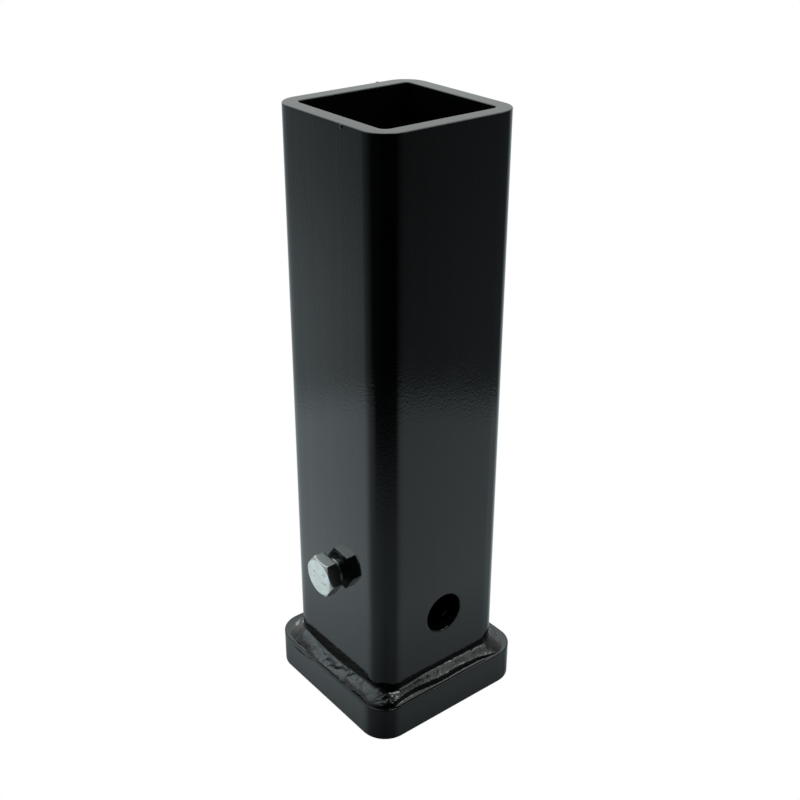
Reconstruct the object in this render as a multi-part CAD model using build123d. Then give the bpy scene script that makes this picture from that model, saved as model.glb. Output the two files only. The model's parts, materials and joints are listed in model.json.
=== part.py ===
"""Receiver tube: a square steel tube with a welded mouth collar and an anti-rattle bolt.

Millimetres. The origin is the centre of the mouth, in the plane of the collar's end face, and
+Z runs up the tube to its rear end, because the part stands on its mouth. The bolt is screwed
through the -X wall, and the pin hole runs through both Y walls.
"""
import os
from bisect import bisect
from math import cos, pi, radians, sin, sqrt, tan

from build123d import *

# Tube: 2 1/2 in square with 1/4 in walls, so that it takes a 2 in square shank
tube_width = 63.5
tube_wall = 6.35
tube_length = 248.0
tube_corner_radius = 10.0
bore_corner_radius = 5.0
tube_edge_chamfer = 0.3

# Collar: a ring pushed over the mouth end, flush with the tube's end face
collar_wall = 6.25
collar_height = 15.5
collar_corner_radius = 11.0
collar_edge_radius = 0.8
collar_foot_chamfer = 0.5
collar_slip = 0.1

# Hitch pin hole, across the tube
pin_hole_diameter = 17.0
pin_hole_height = 46.0

# Anti-rattle bolt: M10 hexagon head, threaded to the head, turned in until a gap is left
bolt_height = 63.5
bolt_head_gap = 2.1
thread_diameter = 10.0
shank_length = 16.0
shank_tip_chamfer = 1.0
head_across_flats = 16.0
head_height = 6.4
head_flat_diameter = 15.2
head_chamfer_angle = 30.0
head_turn = 25.0
washer_face_diameter = 14.6
washer_face_height = 0.4

# The bolt's hole: its thread is left plain, at a running clearance round the shank
thread_clearance = 0.05
hole_countersink = 0.6

# Weld bead: for lengths along the tube's girth, how high it climbs the tube and how far its toe
# stays inside the collar's outline
weld_marks = (
    (-96.0, 2.7, 1.1),
    (-88.0, 3.6, 0.6),
    (-81.0, 4.9, 0.45),
    (-69.0, 3.7, 0.45),
    (-62.0, 3.1, 0.45),
    (-50.0, 3.8, 0.45),
    (-42.0, 4.9, 0.7),
    (-29.6, 5.1, 1.5),
    (-20.0, 6.0, 2.6),
    (-10.0, 5.6, 1.9),
    (2.0, 5.2, 0.6),
    (15.0, 5.1, 1.3),
    (23.0, 5.0, 0.5),
    (29.6, 4.0, 0.7),
    (36.0, 2.5, 1.1),
    (48.0, 3.4, 1.1),
    (62.0, 4.6, 0.6),
    (80.0, 4.8, 1.1),
    (92.0, 4.4, 0.5),
    (104.0, 4.2, 1.2),
    (118.0, 4.0, 1.2),
    (130.0, 3.6, 0.5),
)
weld_swell = 0.12
weld_swell_length = 13.0
weld_fullness = 0.62
weld_root = 0.8
weld_steps_per_wall = 16
weld_steps_per_corner = 8

# Sizes that follow from the ones above
tube_half = tube_width / 2
collar_width = tube_width + 2 * (collar_slip + collar_wall)
bore_width = tube_width - 2 * tube_wall
flat_half = tube_half - tube_corner_radius
corner_run = tube_corner_radius * pi / 2
side_run = 2 * flat_half + corner_run
girth = 4 * side_run

# How far a cut runs past the face that it starts from
overrun = 1.0


def square_bar(width: float, corner_radius: float, length: float, foot: float = 0.0) -> Part:
    """A square bar with rounded corners that stands on the mouth plane, or on a foot height."""
    return Pos(0, 0, foot) * extrude(RectangleRounded(width, width, corner_radius), length)


def rod(diameter: float, length: float, foot: float = 0.0) -> Part:
    """A round rod along Z that starts at a foot height."""
    return Pos(0, 0, foot) * extrude(Circle(diameter / 2), length)


def bolt_plane(gap: float) -> Plane:
    """The plane of the bolt's bearing face, a gap off the -X wall.

    Its Z goes into the tube, and its X goes to a corner of the hexagon.
    """
    turn = radians(head_turn)
    return Plane(
        origin=(-tube_half - gap, 0, bolt_height),
        x_dir=(0, sin(turn), cos(turn)),
        z_dir=(1, 0, 0),
    )


def make_tube() -> Part:
    """The square tube, with its end edges chamfered, the pin hole and the bolt's hole."""
    tube = square_bar(tube_width, tube_corner_radius, tube_length)
    tube -= square_bar(bore_width, bore_corner_radius, tube_length + 2 * overrun, -overrun)
    levels = tube.edges().group_by(Axis.Z)
    tube = chamfer(levels[0] + levels[-1], tube_edge_chamfer)
    pin_plane = Plane(origin=(0, -tube_half, pin_hole_height), x_dir=(1, 0, 0), z_dir=(0, 1, 0))
    tube -= pin_plane * rod(pin_hole_diameter, tube_width + 2 * overrun, -overrun)
    hole_diameter = thread_diameter + 2 * thread_clearance
    tube -= bolt_plane(0) * rod(hole_diameter, tube_wall + 2 * overrun, -overrun)
    countersink = Pos(0, 0, hole_countersink / 2) * Cone(
        hole_diameter / 2 + hole_countersink, hole_diameter / 2, hole_countersink
    )
    return tube - bolt_plane(0) * countersink


def make_collar_block() -> Part:
    """The collar's outer form before it is opened for the tube: rounded above, chamfered below."""
    block = square_bar(collar_width, collar_corner_radius, collar_height)
    block = fillet(block.edges().group_by(Axis.Z)[-1], collar_edge_radius)
    return chamfer(block.edges().group_by(Axis.Z)[0], collar_foot_chamfer)


def make_collar() -> Part:
    """The collar: the block with an opening that slips over the tube."""
    opening_width = tube_width + 2 * collar_slip
    opening_corner = tube_corner_radius + collar_slip
    opening = square_bar(opening_width, opening_corner, collar_height + 2 * overrun, -overrun)
    return make_collar_block() - opening


def girth_frame(along: float) -> tuple[float, float, float]:
    """Where a length along the tube's girth lies.

    The girth starts in the middle of the -Y wall and runs towards +X. Each quarter of it is half
    a wall, a rounded corner and half the next wall.

    Returns:
        The x and y of the point on the tube's skin, and the direction of its outward normal
        in radians.
    """
    quarter, rest = divmod(along % girth, side_run)
    if rest < flat_half:
        out, side, lean = tube_half, rest, 0.0
    elif rest < flat_half + corner_run:
        lean = (rest - flat_half) / tube_corner_radius
        out = flat_half + tube_corner_radius * cos(lean)
        side = flat_half + tube_corner_radius * sin(lean)
    else:
        out, side, lean = side_run - rest, tube_half, pi / 2
    facing = (quarter - 1) * pi / 2
    x = out * cos(facing) - side * sin(facing)
    y = out * sin(facing) + side * cos(facing)
    return x, y, facing + lean


def collar_reach(x: float, y: float, normal: float) -> float:
    """The way from a point of the tube's skin, along its normal, to the collar's outline.

    The outline is the nearer of the two flat sides ahead, or the corner's circle where the way
    passes both ends of those flats. By symmetry the point is taken to the first quadrant.
    """
    ux, uy = abs(cos(normal)), abs(sin(normal))
    px, py = abs(x), abs(y)
    flat = collar_width / 2
    to_x = (flat - px) / max(ux, 1e-9)
    to_y = (flat - py) / max(uy, 1e-9)
    straight_on = min(to_x, to_y)
    centre = flat - collar_corner_radius
    dx, dy = px - centre, py - centre
    if min(dx + straight_on * ux, dy + straight_on * uy) <= 0:
        return straight_on
    nearing = dx * ux + dy * uy
    return -nearing + sqrt(nearing**2 - dx**2 - dy**2 + collar_corner_radius**2)


def wave(along: float, length: float, shift: float) -> float:
    """A slow wave between -1 and 1 that closes on itself round the girth."""
    turns = round(girth / length)
    return sin(2 * pi * turns * along / girth + shift)


def weld_sizes(along: float) -> tuple[float, float]:
    """How high the bead climbs the tube and how far inside the collar's outline its toe lies.

    Both ease from each mark to the next one, and from the last mark back to the first.
    """
    first = weld_marks[0]
    marks = weld_marks + ((first[0] + girth, first[1], first[2]),)
    place = first[0] + (along - first[0]) % girth
    number = min(bisect([mark[0] for mark in weld_marks], place), len(weld_marks))
    start, leg, inset = marks[number - 1]
    end, next_leg, next_inset = marks[number]
    share = (place - start) / (end - start)
    ease = share**2 * (3 - 2 * share)
    return leg + (next_leg - leg) * ease, inset + (next_inset - inset) * ease


def weld_section(along: float) -> Face:
    """The bead's section at a length along the girth, with its root sunk in the tube and collar.

    Its outer line is a cubic curve from the toe on the tube to the toe on the collar, whose
    two middle points stand out from the straight line between the toes.
    """
    x, y, normal = girth_frame(along)
    leg, inset = weld_sizes(along)
    reach = collar_reach(x, y, normal) - inset
    lump = 0.6 * wave(along, weld_swell_length, 0.0) + 0.4 * wave(along, 1.7 * weld_swell_length, 2.1)
    leg += weld_swell * lump
    full = weld_fullness + 0.08 * wave(along, 2.3 * weld_swell_length, 1.3)
    toe_up = (-weld_root / 2, leg + weld_root / 4)
    toe_out = (reach + weld_root / 8, -weld_root / 2)
    face_line = Bezier(toe_up, (0.75 * full * reach, leg), (reach, full * leg), toe_out)
    root_line = Polyline(toe_out, (reach, -weld_root), (-weld_root, -weld_root), (-weld_root, leg), toe_up)
    plane = Plane(
        origin=(x, y, collar_height),
        x_dir=(cos(normal), sin(normal), 0),
        z_dir=(sin(normal), -cos(normal), 0),
    )
    return plane * make_face(face_line + root_line)


def weld_stations() -> list[float]:
    """Where the bead's sections stand along the girth: evenly on the walls and round each corner."""
    per_half = weld_steps_per_wall // 2
    along = []
    for quarter in range(4):
        start = quarter * side_run
        corner = start + flat_half
        after = corner + corner_run
        along += [start + flat_half * step / per_half for step in range(per_half)]
        along += [corner + corner_run * step / weld_steps_per_corner for step in range(weld_steps_per_corner)]
        along += [after + flat_half * step / per_half for step in range(per_half)]
    return along + [girth]


def make_weld() -> Part:
    """The bead: two ruled lofts, each half way round, less the collar and tube that they lie on."""
    sections = [weld_section(along) for along in weld_stations()]
    middle = len(sections) // 2
    ring = loft(sections[: middle + 1], ruled=True) + loft(sections[middle:], ruled=True)
    tube_skin = square_bar(tube_width, tube_corner_radius, tube_length)
    return ring - make_collar_block() - tube_skin


def make_bolt() -> Part:
    """The hexagon bolt: a chamfered head, a washer face and a plain shank in place of the thread.

    The head is a hexagon cut by a turned blank, whose cone leaves a round flat on its end and
    an arc on each of its six sides.
    """
    corner_radius = head_across_flats / sqrt(3)
    blank_radius = corner_radius + overrun
    cone_drop = (blank_radius - head_flat_diameter / 2) * tan(radians(head_chamfer_angle))
    outline = Polyline(
        (0, -head_height),
        (head_flat_diameter / 2, -head_height),
        (blank_radius, cone_drop - head_height),
        (blank_radius, -washer_face_height),
        (0, -washer_face_height),
        close=True,
    )
    blank = revolve(Plane.XZ * make_face(outline), Axis.Z)
    hexagon = Pos(0, 0, -head_height) * extrude(RegularPolygon(corner_radius, 6), head_height)
    washer_face = rod(washer_face_diameter, washer_face_height, -washer_face_height)
    shank = rod(thread_diameter, shank_length)
    shank = chamfer(shank.edges().group_by(Axis.Z)[-1], shank_tip_chamfer)
    return bolt_plane(bolt_head_gap) * ((blank & hexagon) + washer_face + shank)


NODES = {
    "receiver_tube": make_tube,
    "mouth_collar": make_collar,
    "collar_weld": make_weld,
    "anti_rattle_bolt": make_bolt,
}

os.makedirs("parts", exist_ok=True)
for name, make in NODES.items():
    export_step(make(), f"parts/{name}.step")
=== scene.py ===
"""Looks of the receiver tube: gloss enamel on steel, a rippled weld bead and a zinc-plated bolt.

Two dried drops of enamel sit on the tube's rim, and figures stand on the bolt's head. Sizes are
millimetres in the row frame, and turn to metres when a mesh is written. The origin is the centre
of the mouth and +Z runs up the tube. Every surface but the figures is a grid of two parameters
that is worked out as whole arrays, and its formula stands in words beside it.
"""
import json
import logging
from dataclasses import dataclass, field
from enum import Enum
from math import cos, pi, radians, sin, sqrt, tan

import bmesh
import bpy
import numpy as np
from mathutils import Matrix, Vector


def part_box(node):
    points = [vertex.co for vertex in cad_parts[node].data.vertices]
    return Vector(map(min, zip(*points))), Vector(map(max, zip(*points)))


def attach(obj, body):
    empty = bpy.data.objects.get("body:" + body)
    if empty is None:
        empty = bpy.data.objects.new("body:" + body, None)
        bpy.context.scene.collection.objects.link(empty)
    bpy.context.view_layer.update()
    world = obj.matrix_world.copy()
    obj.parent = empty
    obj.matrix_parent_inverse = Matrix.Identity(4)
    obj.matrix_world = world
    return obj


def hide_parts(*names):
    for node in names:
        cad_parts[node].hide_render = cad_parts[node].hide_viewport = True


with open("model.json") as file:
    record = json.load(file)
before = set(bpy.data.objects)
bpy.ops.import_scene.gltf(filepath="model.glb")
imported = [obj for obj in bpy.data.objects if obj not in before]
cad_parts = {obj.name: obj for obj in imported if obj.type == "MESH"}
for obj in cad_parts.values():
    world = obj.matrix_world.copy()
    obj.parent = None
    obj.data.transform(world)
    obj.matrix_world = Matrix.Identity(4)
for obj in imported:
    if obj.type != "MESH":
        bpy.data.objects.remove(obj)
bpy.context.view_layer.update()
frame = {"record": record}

MM = 0.001
LOG = logging.getLogger("receiver_tube")

# Millimetres within which two points are one, and within which two lengths are equal
MERGE = 0.001
CLOSE = 1e-6

# What keeps a division off zero
SMALLEST = 1e-9

# Between these lie most of a noise texture's values
NOISE_LOW, NOISE_HIGH = 0.3, 0.7

# How much more a large face counts than a small one where they share a point: the most there is
FLAT_WEIGHT = 100

# Sockets of the Mix node in its colour mode, which share their names with those of its other modes
MIX_SHARE, MIX_FIRST, MIX_SECOND, MIXED = 0, 6, 7, 2


class Body(Enum):
    """The frame's bodies that a piece can ride on."""

    RECEIVER = "receiver"
    BOLT = "bolt"


class Slot(Enum):
    """The record's material slots."""

    PAINT = "black_paint"
    ZINC = "zinc_plate"


class Reading(Enum):
    """Which way figures read on the bolt's head, as the height of that way."""

    UP = 1.0
    DOWN = -1.0


class Wall(Enum):
    """The tube's four walls in the order of the girth, by the quarter turn that they face."""

    MINUS_Y = -1
    PLUS_X = 0
    PLUS_Y = 1
    MINUS_X = 2

    @property
    def normal(self) -> np.ndarray:
        """The way that the wall faces."""
        return np.array([round(cos(self.value * pi / 2)), round(sin(self.value * pi / 2)), 0.0])

    @property
    def tangent(self) -> np.ndarray:
        """The way along the wall in which the girth runs."""
        return np.array([-self.normal[1], self.normal[0], 0.0])


def linear(hex_colour: str) -> tuple[float, ...]:
    """Turns an sRGB hex colour to linear light.

    Args:
        hex_colour: The colour as six hex digits after a hash.

    Returns:
        Red, green, blue and an alpha of one.
    """
    srgb = np.array([int(hex_colour[i : i + 2], 16) for i in (1, 3, 5)]) / 255
    light = np.where(srgb <= 0.04045, srgb / 12.92, ((srgb + 0.055) / 1.055) ** 2.4)
    return (*light.tolist(), 1.0)


def add_node(
    tree: bpy.types.NodeTree,
    kind: str,
    inputs: dict[int | str, object] | None = None,
    **settings: object,
) -> bpy.types.Node:
    """Adds one node with its settings, values and links.

    Args:
        tree: The node tree that it joins.
        kind: The node's type name.
        inputs: For each socket a value, or the socket of another node to link from.
        settings: The node's own properties.

    Returns:
        The new node.
    """
    node = tree.nodes.new(kind)
    for name, value in settings.items():
        setattr(node, name, value)
    for socket, value in (inputs or {}).items():
        if isinstance(value, bpy.types.NodeSocket):
            tree.links.new(value, node.inputs[socket])
        else:
            node.inputs[socket].default_value = value
    return node


def smooth_step(start: float, end: float, value: np.ndarray) -> np.ndarray:
    """Rises from 0 at start to 1 at end, level at both."""
    share = np.clip((value - start) / (end - start), 0, 1)
    return share**2 * (3 - 2 * share)


def close_up(mesh: bpy.types.Mesh) -> None:
    """Merges the points that are one, then turns the faces outwards.

    Args:
        mesh: A mesh whose faces make closed surfaces once they share points.
    """
    work = bmesh.new()
    work.from_mesh(mesh)
    bmesh.ops.remove_doubles(work, verts=work.verts, dist=MERGE * MM)
    bmesh.ops.recalc_face_normals(work, faces=work.faces)
    work.to_mesh(mesh)
    work.free()


def make_piece(
    name: str, mesh: bpy.types.Mesh, finish: bpy.types.Material, body: Body
) -> bpy.types.Object:
    """Makes a closed mesh a piece that rides on a body.

    Args:
        name: The piece's name.
        mesh: Its mesh, which holds its place.
        finish: Its material.
        body: The body that carries it.

    Returns:
        The object, which sits at the origin.
    """
    mesh.materials.clear()
    mesh.materials.append(finish)
    piece = bpy.data.objects.new(name, mesh)
    bpy.context.scene.collection.objects.link(piece)
    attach(piece, body.value)
    LOG.info("%s: %d faces", name, len(mesh.polygons))
    return piece


@dataclass
class Skin:
    """Grids of points that share edges, merged into one closed mesh whose faces point outwards."""

    points: list[np.ndarray] = field(default_factory=list)
    quads: list[np.ndarray] = field(default_factory=list)

    def patch(
        self,
        grid: np.ndarray,
        wrap_rows: bool = False,
        wrap_columns: bool = False,
        keep: np.ndarray | None = None,
    ) -> None:
        """Adds a grid, where each cell between four neighbours is a quad.

        Args:
            grid: Points in rows and columns, in millimetres.
            wrap_rows: Whether the last row meets the first.
            wrap_columns: Whether the last column meets the first.
            keep: Which cells are there, or None for all of them.
        """
        rows, columns = grid.shape[:2]
        index = np.arange(rows * columns).reshape(rows, columns) + sum(map(len, self.points))
        index = np.concatenate([index, index[:1]]) if wrap_rows else index
        index = np.concatenate([index, index[:, :1]], axis=1) if wrap_columns else index
        cells = np.stack([index[:-1, :-1], index[:-1, 1:], index[1:, 1:], index[1:, :-1]], axis=-1)
        self.points.append(grid.reshape(-1, 3))
        self.quads.append(cells.reshape(-1, 4) if keep is None else cells[keep])

    def piece(
        self, name: str, finish: bpy.types.Material, body: Body, slot: Slot
    ) -> bpy.types.Object:
        """Turns the grids into a smooth, closed piece.

        Args:
            name: The piece's name.
            finish: Its material.
            body: The body that carries it.
            slot: The material slot of its finish; not used.

        Returns:
            The object, which sits at the origin with its place in its mesh.
        """
        mesh = bpy.data.meshes.new(name)
        mesh.from_pydata(np.concatenate(self.points) * MM, [], np.concatenate(self.quads))
        close_up(mesh)
        mesh.shade_smooth()
        return make_piece(name, mesh, finish, body)


def keep_flats_flat(piece: bpy.types.Object) -> None:
    """Lets the large flat faces set the shading beside narrow rounded edges."""
    weighting = piece.modifiers.new("flat_faces", "WEIGHTED_NORMAL")
    weighting.weight = FLAT_WEIGHT


def wall_stops(flat_half: float, window: float, steps: int, margin_steps: int) -> np.ndarray:
    """Where a wall's columns stand: evenly across a middle window, and evenly on its two margins.

    Args:
        flat_half: Half the width of the wall's flat.
        window: Half the width of the window.
        steps: How many steps the window has.
        margin_steps: How many steps each margin has.

    Returns:
        The places along the wall, from one end of its flat to the other.
    """
    margin = np.linspace(window, flat_half, margin_steps + 1)[1:]
    return np.concatenate([-margin[::-1], np.linspace(-window, window, steps + 1), margin])


def rounded_square(
    half: float, radius: float, stops: list[np.ndarray], corner_steps: int
) -> np.ndarray:
    """The closed outline of a square with round corners, in the order of the girth.

    On a wall a point lies half the width out and at its stop along. On a corner it lies at the
    radius from the corner's centre, by the cosine and sine of evenly spaced angles.

    Args:
        half: Half the width over flats.
        radius: The corner radius.
        stops: For each wall, the places of its points along it.
        corner_steps: How many steps a corner has.

    Returns:
        Rows of x and y.
    """
    flat = half - radius
    angle = np.linspace(0, pi / 2, corner_steps + 1)[1:-1]
    corner = np.stack([flat + radius * np.cos(angle), flat + radius * np.sin(angle)], axis=1)
    outline = []
    for wall, along in zip(Wall, stops):
        local = np.concatenate([np.stack([np.full_like(along, half), along], axis=1), corner])
        outline.append(local[:, :1] * wall.normal[:2] + local[:, 1:] * wall.tangent[:2])
    return np.concatenate(outline)


@dataclass
class RingSection:
    """The closed section of a ring: up its outside, across its top, down its inside and back.

    It reaches from the low end to the high one. Each of its four edges is a quarter circle of its
    own radius, by the cosine and sine of its angle. The levels are the heights of its points on
    the outer and the inner face, and the end margin is the share of the thickness that the points
    across an end keep off both edges.
    """

    thickness: float
    low: float
    high: float
    outer_low: float
    outer_high: float
    inner_high: float
    inner_low: float
    levels: np.ndarray
    edge_points: int = 5
    end_points: int = 4
    end_margin: float = 0.2

    def edge(self, radius: float, depth: float, height: float, start: float) -> np.ndarray:
        """A quarter circle clockwise from a start angle, about a centre at a depth and a height."""
        angle = start - np.linspace(0, pi / 2, self.edge_points)
        return np.stack([depth + radius * np.cos(angle), height + radius * np.sin(angle)], axis=1)

    def rows(self) -> np.ndarray:
        """Works out the section.

        Returns:
            Rows of depth below the outside, and height.
        """
        low, high, levels, thick = self.low, self.high, self.levels, self.thickness
        up = levels[(levels > low + self.outer_low) & (levels < high - self.outer_high)]
        down = levels[(levels > low + self.inner_low) & (levels < high - self.inner_high)][::-1]
        across = np.linspace(self.end_margin, 1 - self.end_margin, self.end_points) * thick
        return np.concatenate(
            [
                self.edge(self.outer_low, self.outer_low, low + self.outer_low, 3 * pi / 2),
                np.stack([np.zeros_like(up), up], axis=1),
                self.edge(self.outer_high, self.outer_high, high - self.outer_high, pi),
                np.stack([across, np.full_like(across, high)], axis=1),
                self.edge(
                    self.inner_high, thick - self.inner_high, high - self.inner_high, pi / 2
                ),
                np.stack([np.full_like(down, thick), down], axis=1),
                self.edge(self.inner_low, thick - self.inner_low, low + self.inner_low, 0.0),
                np.stack([across[::-1], np.full_like(across, low)], axis=1),
            ]
        )

    def carry(self, outer: np.ndarray, inner: np.ndarray) -> np.ndarray:
        """Carries the section round two outlines.

        A point lies on the straight line from the outer outline to the inner one, at the share of
        the thickness that its depth gives, and at its height.

        Args:
            outer: The outer outline.
            inner: The inner outline, with as many points.

        Returns:
            The grid, with a row for each of the section's points.
        """
        rows = self.rows()
        share = (rows[:, 0] / self.thickness)[:, None, None]
        flat = outer[None] * (1 - share) + inner[None] * share
        height = np.broadcast_to(rows[:, 1][:, None, None], (*flat.shape[:2], 1))
        return np.concatenate([flat, height], axis=2)


@dataclass(frozen=True)
class GlossEnamel:
    """Black stoving enamel, sprayed on steel and baked to a full gloss.

    To the eye it is near black with mirror reflections. The orange peel of the sprayed film breaks
    their edges up, and the draw marks of the steel below pull them into faint upright streaks. A
    few grains of dust lie in the film, drawn larger than real ones so that they show.
    """

    name: str
    colour: str = "#070808"
    second_colour: str = "#0B0C0C"
    dust_colour: str = "#343838"
    ior: float = 1.5
    roughness: float = 0.075
    roughness_spread: float = 0.02
    cloud_size: float = 16.0
    peel_size: float = 1.1
    peel_depth: float = 0.018
    wave_size: float = 14.0
    wave_depth: float = 0.006
    streak_size: float = 5.0
    streak_length: float = 120.0
    streak_depth: float = 0.018
    dust_spacing: float = 9.0
    dust_size: float = 0.22
    dust_core: float = 0.5

    def build(self) -> bpy.types.Material:
        """Builds the material.

        Returns:
            The material, whose patterns are laid out in Object coordinates.
        """
        material = bpy.data.materials.new(self.name)
        material.use_nodes = True
        tree = material.node_tree
        tree.nodes.clear()
        place = add_node(tree, "ShaderNodeTexCoord").outputs["Object"]
        squeeze = (1.0, 1.0, self.streak_size / self.streak_length)
        drawn = add_node(tree, "ShaderNodeMapping", {"Vector": place, "Scale": squeeze}).outputs[0]
        clouds, waves, streaks, peel = (
            add_node(
                tree,
                "ShaderNodeTexNoise",
                {"Vector": at, "Scale": 1 / (size * MM), "Detail": detail},
            ).outputs["Fac"]
            for at, size, detail in (
                (place, self.cloud_size, 3.0),
                (place, self.wave_size, 1.0),
                (drawn, self.streak_size, 2.0),
                (place, self.peel_size, 1.0),
            )
        )
        grains = add_node(
            tree, "ShaderNodeTexVoronoi", {"Vector": place, "Scale": 1 / (self.dust_spacing * MM)}
        )
        speck = add_node(
            tree,
            "ShaderNodeMapRange",
            {
                "Value": grains.outputs["Distance"],
                "From Min": self.dust_core * self.dust_size / self.dust_spacing,
                "From Max": self.dust_size / self.dust_spacing,
                "To Min": 1.0,
                "To Max": 0.0,
            },
        )
        film = add_node(
            tree,
            "ShaderNodeMix",
            {
                MIX_SHARE: clouds,
                MIX_FIRST: linear(self.colour),
                MIX_SECOND: linear(self.second_colour),
            },
            data_type="RGBA",
        )
        dusty = add_node(
            tree,
            "ShaderNodeMix",
            {
                MIX_SHARE: speck.outputs[0],
                MIX_FIRST: film.outputs[MIXED],
                MIX_SECOND: linear(self.dust_colour),
            },
            data_type="RGBA",
        )
        gloss = add_node(
            tree,
            "ShaderNodeMapRange",
            {
                "Value": clouds,
                "From Min": NOISE_LOW,
                "From Max": NOISE_HIGH,
                "To Min": self.roughness - self.roughness_spread,
                "To Max": self.roughness + self.roughness_spread,
            },
        )
        relief = None
        for height, depth in (
            (waves, self.wave_depth),
            (streaks, self.streak_depth),
            (peel, self.peel_depth),
        ):
            inputs = {"Height": height, "Distance": depth * MM}
            inputs |= {} if relief is None else {"Normal": relief.outputs[0]}
            relief = add_node(tree, "ShaderNodeBump", inputs)
        shader = add_node(
            tree,
            "ShaderNodeBsdfPrincipled",
            {
                "Base Color": dusty.outputs[MIXED],
                "Roughness": gloss.outputs[0],
                "Normal": relief.outputs[0],
                "IOR": self.ior,
            },
        )
        add_node(tree, "ShaderNodeOutputMaterial", {"Surface": shader.outputs[0]})
        return material


@dataclass(frozen=True)
class ZincPlate:
    """Bright blue-white zinc, electroplated on a cold-forged steel bolt.

    To the eye it is a pale, slightly blue metal with a soft shine, clouded by the passivation and
    finely scratched by handling.
    """

    name: str
    colour: str = "#E2E6E6"
    clouded_colour: str = "#E6E4DA"
    roughness: float = 0.34
    roughness_spread: float = 0.05
    cloud_size: float = 2.6
    cloud_edge: tuple[float, float] = (0.4, 0.65)
    grain_size: float = 0.35
    grain_depth: float = 0.003
    scratch_angle: float = 35.0
    scratch_size: float = 0.5
    scratch_length: float = 8.0
    scratch_depth: float = 0.0015

    def build(self) -> bpy.types.Material:
        """Builds the material.

        Returns:
            The material, whose patterns are laid out in Object coordinates.
        """
        material = bpy.data.materials.new(self.name)
        material.use_nodes = True
        tree = material.node_tree
        tree.nodes.clear()
        place = add_node(tree, "ShaderNodeTexCoord").outputs["Object"]
        squeeze = (1.0, self.scratch_size / self.scratch_length, 1.0)
        slant = (radians(self.scratch_angle), 0.0, 0.0)
        drawn = add_node(
            tree, "ShaderNodeMapping", {"Vector": place, "Rotation": slant, "Scale": squeeze}
        ).outputs[0]
        clouds, grain, scratches = (
            add_node(
                tree,
                "ShaderNodeTexNoise",
                {"Vector": at, "Scale": 1 / (size * MM), "Detail": detail},
            ).outputs["Fac"]
            for at, size, detail in (
                (place, self.cloud_size, 4.0),
                (place, self.grain_size, 2.0),
                (drawn, self.scratch_size, 2.0),
            )
        )
        share = add_node(
            tree,
            "ShaderNodeMapRange",
            {"Value": clouds, "From Min": self.cloud_edge[0], "From Max": self.cloud_edge[1]},
        )
        tint = add_node(
            tree,
            "ShaderNodeMix",
            {
                MIX_SHARE: share.outputs[0],
                MIX_FIRST: linear(self.colour),
                MIX_SECOND: linear(self.clouded_colour),
            },
            data_type="RGBA",
        )
        gloss = add_node(
            tree,
            "ShaderNodeMapRange",
            {
                "Value": clouds,
                "From Min": NOISE_LOW,
                "From Max": NOISE_HIGH,
                "To Min": self.roughness - self.roughness_spread,
                "To Max": self.roughness + self.roughness_spread,
            },
        )
        scored = add_node(
            tree, "ShaderNodeBump", {"Height": scratches, "Distance": self.scratch_depth * MM}
        )
        relief = add_node(
            tree,
            "ShaderNodeBump",
            {"Height": grain, "Distance": self.grain_depth * MM, "Normal": scored.outputs[0]},
        )
        shader = add_node(
            tree,
            "ShaderNodeBsdfPrincipled",
            {
                "Base Color": tint.outputs[MIXED],
                "Metallic": 1.0,
                "Roughness": gloss.outputs[0],
                "Normal": relief.outputs[0],
            },
        )
        add_node(tree, "ShaderNodeOutputMaterial", {"Surface": shader.outputs[0]})
        return material


@dataclass(frozen=True)
class EnamelNib:
    """A dried drop of enamel on the tube: its centre and its three half sizes."""

    centre: tuple[float, float, float]
    sizes: tuple[float, float, float]
    latitudes: int = 13
    longitudes: int = 24

    def grid(self) -> np.ndarray:
        """The drop's surface.

        A drop is a ball by its latitude and longitude, stretched to its three half sizes.

        Returns:
            The grid, with a row for each latitude.
        """
        latitude = np.linspace(-pi / 2, pi / 2, self.latitudes)[:, None]
        longitude = np.arange(self.longitudes)[None] * 2 * pi / self.longitudes
        ball = np.stack(
            [
                np.cos(latitude) * np.cos(longitude),
                np.cos(latitude) * np.sin(longitude),
                np.sin(latitude) * np.ones_like(longitude),
            ],
            axis=2,
        )
        return ball * self.sizes + self.centre


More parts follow.
